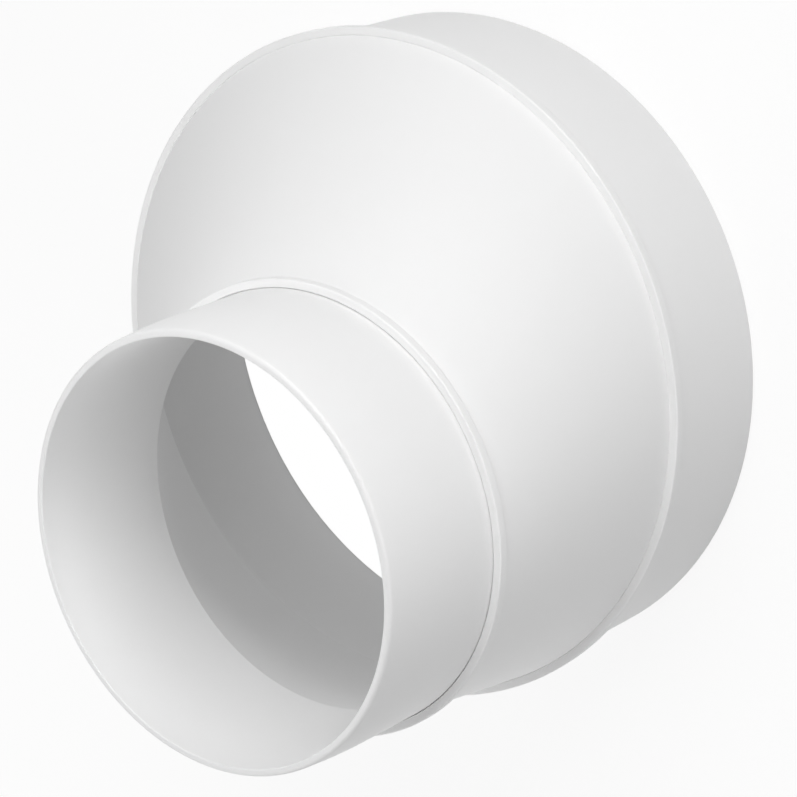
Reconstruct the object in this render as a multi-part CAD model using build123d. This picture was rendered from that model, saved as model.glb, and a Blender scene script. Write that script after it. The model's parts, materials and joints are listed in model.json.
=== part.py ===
import os
from math import radians, tan

from build123d import *

# Eccentric round duct reducer, moulded in one piece. Millimetres.
# The large rim stands on Z = 0, centred on the origin. The small spigot points up and is set off
# along +X, so that the two stop rings are flush on that side.

# Ducts that slide over the spigots
large_duct_bore = 160.0
small_duct_bore = 100.0
duct_clearance = 0.4  # all round, between a duct and its spigot

# Lengths along the axis
large_spigot_length = 34.0
cone_length = 62.0
small_spigot_length = 33.5

# Stop rings
ring_thickness = 2.3
ring_height = 2.1  # how far a ring stands out from its spigot
ring_edge_break = 0.6

# Small spigot, a straight seat beside the ring and a gently curved lead-in up to the mouth
seat_length = 14.0
lead_in_drop = 0.9

# Walls and bores
large_rim_wall = 1.6
small_mouth_wall = 1.7
cone_wall = 2.75  # measured level, at the top of the cone
large_bore_draft = 0.6  # degrees
small_bore_draft = 0.8  # degrees
bore_run_on = 1.0  # how far the small bore goes on below its ring
outer_rim_break = 0.6
inner_rim_break = 0.3

# Radii that follow
large_radius = large_duct_bore / 2 - duct_clearance
small_radius = small_duct_bore / 2 - duct_clearance
large_ring_radius = large_radius + ring_height
small_ring_radius = small_radius + ring_height
axis_offset = large_ring_radius - small_ring_radius
mouth_radius = small_radius - lead_in_drop

# Levels that follow, from the large rim up
large_ring_rear = large_spigot_length
large_ring_front = large_ring_rear + ring_thickness
small_ring_rear = large_ring_front + cone_length
small_ring_front = small_ring_rear + ring_thickness
seat_top = small_ring_front + seat_length
mouth_level = small_ring_front + small_spigot_length
small_bore_end = small_ring_rear - bore_run_on

# Bore radii that follow
large_rim_bore = large_radius - large_rim_wall
large_bore_root = large_rim_bore - large_ring_rear * tan(radians(large_bore_draft))
small_mouth_bore = mouth_radius - small_mouth_wall
small_bore_root = small_mouth_bore - (mouth_level - small_bore_end) * tan(radians(small_bore_draft))
cone_top_radius = small_bore_root + cone_wall

# Broken edges, limited by the walls that carry them
ring_break = min(ring_edge_break, 0.4 * ring_thickness, 0.4 * ring_height)
thin_wall = min(large_rim_wall, small_mouth_wall)
outer_break = min(outer_rim_break, 0.4 * thin_wall)
inner_break = min(inner_rim_break, 0.4 * thin_wall)


def break_corner(profile, radius, level, size):
    """Break the corner of a profile that lies at this radius and level."""
    corner = profile.vertices().sort_by_distance((radius, level, 0))[0]
    return chamfer(corner, size)


def turned(profile):
    """Turn a profile drawn as radius and level about the Z axis."""
    return revolve(Plane.XZ * profile, Axis.Z)


def disc_at(offset, level, radius):
    """A disc across the duct, as a section for the lofts."""
    return Pos(offset, 0, level) * Circle(radius)


# Outside of the large spigot with its ring
large_outline = make_face(
    Polyline(
        (0, 0),
        (large_radius, 0),
        (large_radius, large_ring_rear),
        (large_ring_radius, large_ring_rear),
        (large_ring_radius, large_ring_front),
        (0, large_ring_front),
        close=True,
    )
)
large_outline = break_corner(large_outline, large_radius, 0, outer_break)
large_outline = break_corner(large_outline, large_ring_radius, large_ring_rear, ring_break)
large_outline = break_corner(large_outline, large_ring_radius, large_ring_front, ring_break)
large_end = turned(large_outline)

# Outside of the small spigot with its ring
seat_point = (small_radius, seat_top)
lip_point = (mouth_radius, mouth_level - outer_break)
lead_in = TangentArc(seat_point, lip_point, tangent=(0, 1))
small_sides = Polyline(
    lip_point,
    (mouth_radius - outer_break, mouth_level),
    (0, mouth_level),
    (0, small_ring_rear),
    (small_ring_radius, small_ring_rear),
    (small_ring_radius, small_ring_front),
    (small_radius, small_ring_front),
    seat_point,
)
small_outline = make_face([lead_in, small_sides])
small_outline = break_corner(small_outline, small_ring_radius, small_ring_rear, ring_break)
small_outline = break_corner(small_outline, small_ring_radius, small_ring_front, ring_break)
small_end = Pos(axis_offset, 0, 0) * turned(small_outline)

# Outside of the leaning cone, from ring to ring
cone_base = disc_at(0, large_ring_front, large_radius)
cone_top = disc_at(axis_offset, small_ring_rear, cone_top_radius)
cone = loft([cone_base, cone_top], ruled=True)

# Air way, two drafted bores joined by a leaning throat
large_bore = turned(
    make_face(
        Polyline(
            (0, 0),
            (large_rim_bore + inner_break, 0),
            (large_rim_bore, inner_break),
            (large_bore_root, large_ring_rear),
            (0, large_ring_rear),
            close=True,
        )
    )
)
small_bore = Pos(axis_offset, 0, 0) * turned(
    make_face(
        Polyline(
            (0, small_bore_end),
            (small_bore_root, small_bore_end),
            (small_mouth_bore, mouth_level - inner_break),
            (small_mouth_bore + inner_break, mouth_level),
            (0, mouth_level),
            close=True,
        )
    )
)
throat_base = disc_at(0, large_ring_rear, large_bore_root)
throat_top = disc_at(axis_offset, small_bore_end, small_bore_root)
throat = loft([throat_base, throat_top], ruled=True)

reducer_body = large_end + cone + small_end - (large_bore + throat + small_bore)

os.makedirs("parts", exist_ok=True)
export_step(reducer_body.solid(), "parts/reducer_body.step")
print("solids", len(reducer_body.solids()), "volume", round(reducer_body.volume), "height", mouth_level)
print("offset", round(axis_offset, 3), "bores", round(small_bore_root, 2), round(large_bore_root, 2))
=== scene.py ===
import bpy, json, math
from mathutils import Euler, Matrix, Vector


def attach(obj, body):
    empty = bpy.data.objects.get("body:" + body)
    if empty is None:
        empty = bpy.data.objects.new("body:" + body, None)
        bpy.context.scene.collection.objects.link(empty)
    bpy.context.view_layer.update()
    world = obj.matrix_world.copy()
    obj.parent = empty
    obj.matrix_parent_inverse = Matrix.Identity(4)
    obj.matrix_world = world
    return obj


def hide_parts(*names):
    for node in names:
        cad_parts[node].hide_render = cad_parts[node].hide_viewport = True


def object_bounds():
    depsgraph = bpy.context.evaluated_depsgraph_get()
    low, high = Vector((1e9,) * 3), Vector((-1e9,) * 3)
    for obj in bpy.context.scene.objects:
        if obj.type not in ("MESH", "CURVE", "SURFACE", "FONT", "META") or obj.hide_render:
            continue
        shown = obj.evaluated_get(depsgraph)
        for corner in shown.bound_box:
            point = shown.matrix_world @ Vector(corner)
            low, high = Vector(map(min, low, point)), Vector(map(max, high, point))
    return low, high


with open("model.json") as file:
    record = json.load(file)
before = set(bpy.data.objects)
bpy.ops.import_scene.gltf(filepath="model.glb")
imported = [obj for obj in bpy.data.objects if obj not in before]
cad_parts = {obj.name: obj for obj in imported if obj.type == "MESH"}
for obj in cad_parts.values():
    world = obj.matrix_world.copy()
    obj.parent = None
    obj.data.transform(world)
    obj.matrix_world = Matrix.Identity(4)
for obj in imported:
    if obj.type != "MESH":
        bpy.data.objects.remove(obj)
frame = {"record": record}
cadLow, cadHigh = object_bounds()
scene = bpy.context.scene
scene.view_settings.view_transform = "Standard"
mounts = {mount["name"]: mount for mount in frame["record"]["mounts"]}
print("frame loaded, CAD box", [round(side, 4) for side in cadHigh - cadLow])


# small helpers for node trees: an input is either another node's output or a plain value
def addNode(tree, kind, inputs=None, **settings):
    node = tree.nodes.new(kind)
    for name, value in settings.items():
        setattr(node, name, value)
    for key, value in (inputs or {}).items():
        if hasattr(value, "is_output"):
            tree.links.new(value, node.inputs[key])
        else:
            node.inputs[key].default_value = value
    return node


def calc(tree, operation, *values):
    return addNode(tree, "ShaderNodeMath", dict(enumerate(values)), operation=operation).outputs[0]


def add(tree, a, b):
    return calc(tree, "ADD", a, b)


def less(tree, a, b):
    return calc(tree, "SUBTRACT", a, b)


def times(tree, a, b):
    return calc(tree, "MULTIPLY", a, b)


def calcVector(tree, operation, *values):
    return addNode(tree, "ShaderNodeVectorMath", dict(enumerate(values)), operation=operation).outputs[0]


# a number from two vectors, such as their distance
def measure(tree, operation, a, b):
    return addNode(tree, "ShaderNodeVectorMath", {0: a, 1: b}, operation=operation).outputs["Value"]


def mixTint(tree, share, first, second):
    tints = {"Factor": share, "A": (*first, 1), "B": (*second, 1)}
    return addNode(tree, "ShaderNodeMix", tints, data_type="RGBA").outputs["Result"]


def remap(tree, value, before, after):
    limits = {"From Min": before[0], "From Max": before[1], "To Min": after[0], "To Max": after[1]}
    return addNode(tree, "ShaderNodeMapRange", {"Value": value, **limits}).outputs["Result"]


plastic = {
    "colour": (0.88, 0.88, 0.88),
    "dullColour": (0.86, 0.86, 0.86),  # where the melt cooled a touch duller
    "roughness": (0.50, 0.60),
    "refraction": 1.5,
    "flowScale": 22.0,                 # soft patches a few centimetres wide
    "flowDetail": 3.0,
    "flowSpan": (0.3, 0.7),            # the roughness follows this part of the patches
    "skinScale": 700.0,                # fine skin left by the mould
    "skinDetail": 2.0,
    "skinDepth": 0.00005,
    "skinStrength": 0.25,
}


def makePlastic():
    mat = bpy.data.materials.new("mouldedWhite")
    mat.use_nodes = True
    tree = mat.node_tree
    shader = tree.nodes["Principled BSDF"]
    place = addNode(tree, "ShaderNodeTexCoord").outputs["Object"]

    def cloud(scale, detail):
        return addNode(tree, "ShaderNodeTexNoise", {
            "Vector": place, "Scale": scale, "Detail": detail}).outputs["Fac"]

    # slow patches in tint and gloss
    flow = cloud(plastic["flowScale"], plastic["flowDetail"])
    tint = mixTint(tree, flow, plastic["dullColour"], plastic["colour"])
    gloss = remap(tree, flow, plastic["flowSpan"], plastic["roughness"])

    # fine skin
    skin = cloud(plastic["skinScale"], plastic["skinDetail"])
    bump = addNode(tree, "ShaderNodeBump", {
        "Height": skin, "Strength": plastic["skinStrength"], "Distance": plastic["skinDepth"]})

    tree.links.new(tint, shader.inputs["Base Color"])
    tree.links.new(gloss, shader.inputs["Roughness"])
    tree.links.new(bump.outputs["Normal"], shader.inputs["Normal"])
    shader.inputs["IOR"].default_value = plastic["refraction"]
    return mat


mouldedWhite = makePlastic()
print("plastic made")


# the wall's section, carried round the two axes; sizes that the frame gives aren't repeated here
reducer = {
    "ringThickness": 0.0023,
    "rimWall": 0.0016,
    "mouthWall": 0.0017,
    "mouthDrop": 0.0009,       # the lead-in narrows by this much
    "leadInShare": 0.8,        # how much of the lead-in's half its soft bend takes
    "coneWall": 0.00275,
    "boreRunOn": 0.0010,
    "largeDraft": 0.6,         # degrees
    "smallDraft": 0.8,
    "rootWidth": 0.00030,      # fine crease in a ring's face, against the cone or the spigot
    "rootDepth": 0.00015,
    "stopRootDepth": 0.00065,
    "ringRound": 0.00038,      # on the side of the small mouth
    "ringRearRound": 0.00030,
    "rootRound": 0.00004,
    "mouthRound": 0.0009,
    "rimRound": 0.0008,
    "innerRound": 0.0003,
    "throatRound": 0.0002,
    "hold": 0.00018,           # narrow strip beside each round, keeps the flats flat
    "roundSteps": 5,
    "segments": 256,
    "step": 0.0040,            # longest quad along a straight run
}


def spigotRadius(name):
    return mounts[name]["dims"]["r_mm"] / 1000


def halfSeat(name):
    return mounts[name]["dims"]["length_mm"] / 2000


# the section's inputs: the sizes above, with those that the frame gives
def sectionInputs():
    smallPlace, largePlace = mounts["small_spigot"]["pos_m"], mounts["large_spigot"]["pos_m"]
    inputs = {
        **reducer,
        "largeRadius": spigotRadius("large_spigot"),
        "smallRadius": spigotRadius("small_spigot"),
        "axisShift": smallPlace[0],
        "ringHeight": cadHigh.x - spigotRadius("large_spigot"),
        "largeRingLevel": largePlace[2] + halfSeat("large_spigot"),
        "smallRingLevel": smallPlace[2] - halfSeat("small_spigot"),
        "seatLevel": smallPlace[2] + halfSeat("small_spigot"),
        "mouthLevel": cadHigh.z,
    }

    # each draft becomes the narrowing over its bore, and the share becomes the bend's radius
    boreEnd = inputs["smallRingLevel"] - inputs["ringThickness"] - inputs["boreRunOn"]
    largeSlope = math.tan(math.radians(inputs.pop("largeDraft")))
    smallSlope = math.tan(math.radians(inputs.pop("smallDraft")))
    inputs["largeNarrowing"] = inputs["largeRingLevel"] * largeSlope
    inputs["smallNarrowing"] = (inputs["mouthLevel"] - boreEnd) * smallSlope
    halfLead = (inputs["mouthLevel"] - inputs["seatLevel"]) / 2
    halfBend = math.atan(inputs["mouthDrop"] / halfLead) / 2
    inputs["leadInRadius"] = inputs.pop("leadInShare") * halfLead / math.tan(halfBend)
    return inputs


# corners of the wall: radius, shift of the axis, level, round
def wallCorners(tree, size):
    large, small, shift = size["largeRadius"], size["smallRadius"], size["axisShift"]
    largeRing = add(tree, large, size["ringHeight"])
    smallRing = add(tree, small, size["ringHeight"])
    ringRear = size["largeRingLevel"]
    ringFront = add(tree, ringRear, size["ringThickness"])
    stopFront = size["smallRingLevel"]
    stopRear = less(tree, stopFront, size["ringThickness"])
    mouth = size["mouthLevel"]
    bend = times(tree, add(tree, size["seatLevel"], mouth), 0.5)
    mouthRadius = less(tree, small, size["mouthDrop"])
    mouthBore = less(tree, mouthRadius, size["mouthWall"])
    smallBore = less(tree, mouthBore, size["smallNarrowing"])
    boreEnd = less(tree, stopRear, size["boreRunOn"])
    rimBore = less(tree, large, size["rimWall"])
    largeBore = less(tree, rimBore, size["largeNarrowing"])
    coneTop = add(tree, smallBore, size["coneWall"])
    root, front, rear = size["rootRound"], size["ringRound"], size["ringRearRound"]
    return [
        (large, 0.0, 0.0, size["rimRound"]),
        (large, 0.0, ringRear, root),
        (largeRing, 0.0, ringRear, rear),
        (largeRing, 0.0, ringFront, front),
        (add(tree, large, size["rootWidth"]), 0.0, ringFront, root),
        (large, 0.0, less(tree, ringFront, size["rootDepth"]), root),
        (large, 0.0, ringFront, root),
        (coneTop, shift, stopRear, root),
        (smallRing, shift, stopRear, rear),
        (smallRing, shift, stopFront, front),
        (add(tree, small, size["rootWidth"]), shift, stopFront, root),
        (small, shift, less(tree, stopFront, size["stopRootDepth"]), root),
        (small, shift, bend, size["leadInRadius"]),
        (mouthRadius, shift, mouth, size["mouthRound"]),
        (mouthBore, shift, mouth, size["innerRound"]),
        (smallBore, shift, boreEnd, size["throatRound"]),
        (largeBore, 0.0, ringRear, size["throatRound"]),
        (rimBore, 0.0, 0.0, size["innerRound"]),
    ]


def pointIndex(tree):
    return addNode(tree, "GeometryNodeInputIndex").outputs[0]


def pointPlace(tree):
    return addNode(tree, "GeometryNodeInputPosition").outputs[0]


# a line of points, each at its own place
def pointLine(tree, count, place):
    line = addNode(tree, "GeometryNodeMeshLine", {"Count": count}).outputs[0]
    return addNode(tree, "GeometryNodeSetPosition", {"Geometry": line, "Position": place}).outputs[0]


# a value that stays on a geometry's points through the steps after it
def keepValue(tree, geometry, kind, name, value):
    kept = addNode(tree, "GeometryNodeCaptureAttribute", {"Geometry": geometry})
    kept.capture_items.new(kind, name)
    tree.links.new(value, kept.inputs[name])
    return kept.outputs["Geometry"], kept.outputs[name]


# the corners as points, and the radius of each one's round
def cornerPoints(tree, corners):
    index = pointIndex(tree)
    spots = addNode(tree, "GeometryNodeIndexSwitch", {"Index": index}, data_type="VECTOR")
    rounds = addNode(tree, "GeometryNodeIndexSwitch", {"Index": index}, data_type="FLOAT")
    for _ in corners[2:]:  # a new switch has two items
        spots.index_switch_items.new()
        rounds.index_switch_items.new()
    for i, (radius, lean, level, edge) in enumerate(corners, 1):
        spot = addNode(tree, "ShaderNodeCombineXYZ", {"X": radius, "Y": lean, "Z": level}).outputs[0]
        tree.links.new(spot, spots.inputs[i])
        tree.links.new(edge, rounds.inputs[i])
    return pointLine(tree, len(corners), spots.outputs[0]), rounds.outputs[0]


# three points for each corner: one holds the run before it, one is the corner, one holds the run after it
def softOutline(tree, size, corners):
    points, rounds = cornerPoints(tree, corners)
    index, position = pointIndex(tree), pointPlace(tree)
    owner = calc(tree, "FLOOR", calc(tree, "DIVIDE", add(tree, index, 0.5), 3.0))
    side = less(tree, less(tree, index, times(tree, owner, 3.0)), 1.0)  # -1, 0 or 1
    atCorner = less(tree, 1.0, calc(tree, "ABSOLUTE", side))

    def fromCorner(which, value, kind):
        sample = {"Geometry": points, "Value": value, "Index": which}
        return addNode(tree, "GeometryNodeSampleIndex", sample, data_type=kind).outputs[0]

    here = fromCorner(owner, position, "FLOAT_VECTOR")
    edge = fromCorner(owner, rounds, "FLOAT")

    def headingTo(steps):
        other = calc(tree, "FLOORED_MODULO", add(tree, owner, steps), float(len(corners)))
        gap = calcVector(tree, "SUBTRACT", fromCorner(other, position, "FLOAT_VECTOR"), here)
        return calcVector(tree, "NORMALIZE", gap)

    # a round takes more of its runs where they meet at a sharper angle
    fold = measure(tree, "DOT_PRODUCT", headingTo(-1.0), headingTo(1.0))
    sharpness = calc(tree, "DIVIDE", add(tree, 1.0, fold), less(tree, 1.0, fold))
    spent = times(tree, edge, calc(tree, "SQRT", sharpness))
    reach = add(tree, spent, calc(tree, "MINIMUM", edge, size["hold"]))
    stride = {0: headingTo(side), "Scale": reach}
    stride = addNode(tree, "ShaderNodeVectorMath", stride, operation="SCALE").outputs[0]

    outline = pointLine(tree, 3 * len(corners), calcVector(tree, "ADD", here, stride))
    outline, cornerRound = keepValue(tree, outline, "FLOAT", "Round", times(tree, edge, atCorner))
    curve = addNode(tree, "GeometryNodeMeshToCurve", {"Mesh": outline}).outputs[0]
    loop = addNode(tree, "GeometryNodeSetSplineCyclic", {"Geometry": curve, "Cyclic": True}).outputs[0]
    fillet = {"Curve": loop, "Count": size["roundSteps"], "Radius": cornerRound, "Limit Radius": True}
    return addNode(tree, "GeometryNodeFilletCurve", fillet, mode="POLY").outputs[0]


# cut the long runs into even quads
def cutRuns(tree, size, outline):
    index, position = pointIndex(tree), pointPlace(tree)
    following = addNode(tree, "GeometryNodeOffsetPointInCurve", {"Point Index": index, "Offset": 1})
    after = {"Index": following.outputs["Point Index"], "Value": position}
    after = addNode(tree, "GeometryNodeFieldAtIndex", after, data_type="FLOAT_VECTOR").outputs[0]
    cuts = calc(tree, "DIVIDE", measure(tree, "DISTANCE", position, after), size["step"])
    return addNode(tree, "GeometryNodeSubdivideCurve", {"Curve": outline, "Cuts": cuts}).outputs[0]


# carry the section round: it keeps radius, shift and level, and the path keeps the turn
def carryRound(tree, size, section):
    section, wall = keepValue(tree, section, "VECTOR", "Wall", pointPlace(tree))
    circle = {"Resolution": size["segments"], "Radius": 1.0}
    path = addNode(tree, "GeometryNodeCurvePrimitiveCircle", circle, mode="RADIUS").outputs[0]
    share = calc(tree, "DIVIDE", pointIndex(tree), size["segments"])
    clockwise = times(tree, share, -2 * math.pi)  # so that the faces look outward
    path, turn = keepValue(tree, path, "FLOAT", "Turn", clockwise)
    swept = addNode(tree, "GeometryNodeCurveToMesh", {"Curve": path, "Profile Curve": section}).outputs[0]
    radius, shift, level = addNode(tree, "ShaderNodeSeparateXYZ", {0: wall}).outputs
    across = add(tree, times(tree, radius, calc(tree, "COSINE", turn)), shift)
    along = times(tree, radius, calc(tree, "SINE", turn))
    place = addNode(tree, "ShaderNodeCombineXYZ", {"X": across, "Y": along, "Z": level}).outputs[0]
    return addNode(tree, "GeometryNodeSetPosition", {"Geometry": swept, "Position": place}).outputs[0]


def makeSectionTree(inputs, mat):
    tree = bpy.data.node_groups.new("reducerSection", "GeometryNodeTree")
    tree.is_modifier = True
    for name, value in inputs.items():
        kind = "NodeSocketInt" if isinstance(value, int) else "NodeSocketFloat"
        tree.interface.new_socket(name, in_out="INPUT", socket_type=kind)
    tree.interface.new_socket("Geometry", in_out="OUTPUT", socket_type="NodeSocketGeometry")
    size = tree.nodes.new("NodeGroupInput").outputs
    outline = softOutline(tree, size, wallCorners(tree, size))
    shell = carryRound(tree, size, cutRuns(tree, size, outline))
    shell = addNode(tree, "GeometryNodeSetShadeSmooth", {"Geometry": shell, "Shade Smooth": True}).outputs[0]
    shell = addNode(tree, "GeometryNodeRealizeInstances", {"Geometry": shell}).outputs[0]
    shell = addNode(tree, "GeometryNodeSetMaterial", {"Geometry": shell, "Material": mat}).outputs[0]
    addNode(tree, "NodeGroupOutput", {"Geometry": shell})
    return tree


def makeReducer():
    inputs = sectionInputs()
    shell = bpy.data.objects.new("reducerShell", bpy.data.meshes.new("reducerHolder"))
    scene.collection.objects.link(shell)
    sweep = shell.modifiers.new("section", "NODES")
    sweep.node_group = makeSectionTree(inputs, mouldedWhite)
    for item in sweep.node_group.interface.items_tree:
        if item.in_out == "INPUT":
            sweep[item.identifier] = inputs[item.name]
    shell.update_tag()
    bpy.context.view_layer.update()
    mesh = bpy.data.meshes.new_from_object(shell.evaluated_get(bpy.context.evaluated_depsgraph_get()))
    shell.modifiers.remove(sweep)
    shell.data = mesh
    mesh.name = "reducerShell"
    return shell


reducerShell = makeReducer()
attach(reducerShell, "root")
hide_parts("reducer_body")
print("reducer made,", len(reducerShell.data.vertices), "points,", len(reducerShell.data.polygons), "faces")


studio = {
    "floorSize": 6.0,
    "floorColour": (0.55, 0.55, 0.55),  # for the light that the paper sends back
    "floorSeen": (1.0, 1.0, 1.0),       # for the camera
    "floorWhite": 0.86,                 # share of plain white that the camera sees, the rest takes the shadow
    "cardLevel": 0.0004,
    "cardGap": 0.0002,
    "cardSides": 96,
    "cardGlow": (0.0, 0.51),            # light that comes up through the large end, stronger toward one side
    "cardSide": (-0.10, -0.995, 0.0),
    "lampAim": (0.01, 0.0, 0.06),
}


# 1 for what the camera sees, also in a reflection or through glass
def seenDirectly(tree):
    path = addNode(tree, "ShaderNodeLightPath").outputs
    bounced = calc(tree, "MAXIMUM", path["Is Glossy Ray"], path["Is Transmission Ray"])
    return calc(tree, "MAXIMUM", path["Is Camera Ray"], bounced)


def startTree(holder):
    holder.use_nodes = True
    tree = holder.node_tree
    tree.nodes.clear()
    return tree, seenDirectly(tree)


def addWhite(tree, kind, strength):
    return addNode(tree, kind, {"Color": (1, 1, 1, 1), "Strength": strength}).outputs[0]


def addStage(name, points, mat):
    mesh = bpy.data.meshes.new(name)
    mesh.from_pydata(points, [], [tuple(range(len(points)))])
    mesh.materials.append(mat)
    sheet = bpy.data.objects.new(name, mesh)
    scene.collection.objects.link(sheet)


def makeFloor():
    mat = bpy.data.materials.new("palePaper")
    tree, seen = startTree(mat)
    tint = mixTint(tree, seen, studio["floorColour"], studio["floorSeen"])
    paper = addNode(tree, "ShaderNodeBsdfDiffuse", {"Color": tint}).outputs[0]
    white = addWhite(tree, "ShaderNodeEmission", 1.0)
    share = times(tree, seen, studio["floorWhite"])
    mix = addNode(tree, "ShaderNodeMixShader", {0: share, 1: paper, 2: white}).outputs[0]
    addNode(tree, "ShaderNodeOutputMaterial", {"Surface": mix})
    half = studio["floorSize"] / 2
    addStage("paleFloor", [(-half, -half, 0), (half, -half, 0), (half, half, 0), (-half, half, 0)], mat)


# card on the floor inside the large end: plain white to the camera, otherwise a glowing sheet that lights the
# inside, though it is no lamp
def makeCard():
    radius = spigotRadius("large_spigot") - reducer["rimWall"] - studio["cardGap"]
    mat = bpy.data.materials.new("whiteCard")
    tree, seen = startTree(mat)
    place = addNode(tree, "ShaderNodeTexCoord").outputs["Object"]
    across = measure(tree, "DOT_PRODUCT", place, studio["cardSide"])
    glow = remap(tree, across, (-radius, radius), studio["cardGlow"])
    # the glow: plain white to the camera, elsewhere light that comes up through the large end, stronger
    # toward one side
    white = addWhite(tree, "ShaderNodeEmission", calc(tree, "MAXIMUM", seen, glow))
    addNode(tree, "ShaderNodeOutputMaterial", {"Surface": white})
    turns = [2 * math.pi * i / studio["cardSides"] for i in range(studio["cardSides"])]
    level = studio["cardLevel"]
    addStage("whiteCard", [(radius * math.cos(turn), radius * math.sin(turn), level) for turn in turns], mat)


def makeRoom():
    scene.world = bpy.data.worlds.new("whiteRoom")
    tree, seen = startTree(scene.world)
    addNode(tree, "ShaderNodeOutputWorld", {"Surface": addWhite(tree, "ShaderNodeBackground", seen)})


# soft panels round the object
lamps = {
    "highPanel": {"spot": (-0.262, 0.000, 0.610), "size": (0.40, 0.28), "power": 0.68},
    "upperPanel": {"spot": (0.020, 0.446, 0.482), "size": (0.40, 0.28), "power": 1.58},
    "lowerPanel": {"spot": (0.020, -0.556, 0.305), "size": (0.40, 0.28), "power": 1.08},
    "upperSide": {"spot": (0.010, 1.222, 0.505), "size": (0.90, 0.60), "power": 6.5},
    "rightSide": {"spot": (1.232, 0.000, 0.505), "size": (0.90, 0.60), "power": 5.6},
    "rearSide": {"spot": (-0.770, -0.780, 0.749), "size": (0.90, 0.60), "power": 3.2},
}


def makePanel(name, panel):
    data = bpy.data.lights.new(name, "AREA")
    data.shape = "RECTANGLE"
    data.size, data.size_y = panel["size"]
    data.energy = panel["power"]
    lamp = bpy.data.objects.new(name, data)
    scene.collection.objects.link(lamp)
    lamp.location = panel["spot"]
    lamp.rotation_euler = (Vector(studio["lampAim"]) - lamp.location).to_track_quat("-Z", "Y").to_euler()


photoView = {
    "eye": (0.31128, 0.34782, 0.56887),
    "turn": (-18.4888, 37.5231, 20.3449),  # degrees
    "lens": 134.65,
    "sensor": 36.0,
    "clip": (0.05, 20.0),
}


def makeCamera():
    data = bpy.data.cameras.new("photoView")
    data.lens = photoView["lens"]
    data.sensor_width = photoView["sensor"]
    data.clip_start, data.clip_end = photoView["clip"]
    camera = bpy.data.objects.new("photoView", data)
    scene.collection.objects.link(camera)
    turn = Euler([math.radians(angle) for angle in photoView["turn"]])
    camera.matrix_world = Matrix.LocRotScale(Vector(photoView["eye"]), turn, None)
    scene.camera = camera


makeFloor()
makeCard()
makeRoom()
for name, panel in lamps.items():
    makePanel(name, panel)
makeCamera()
print("floor, lamps and camera set")
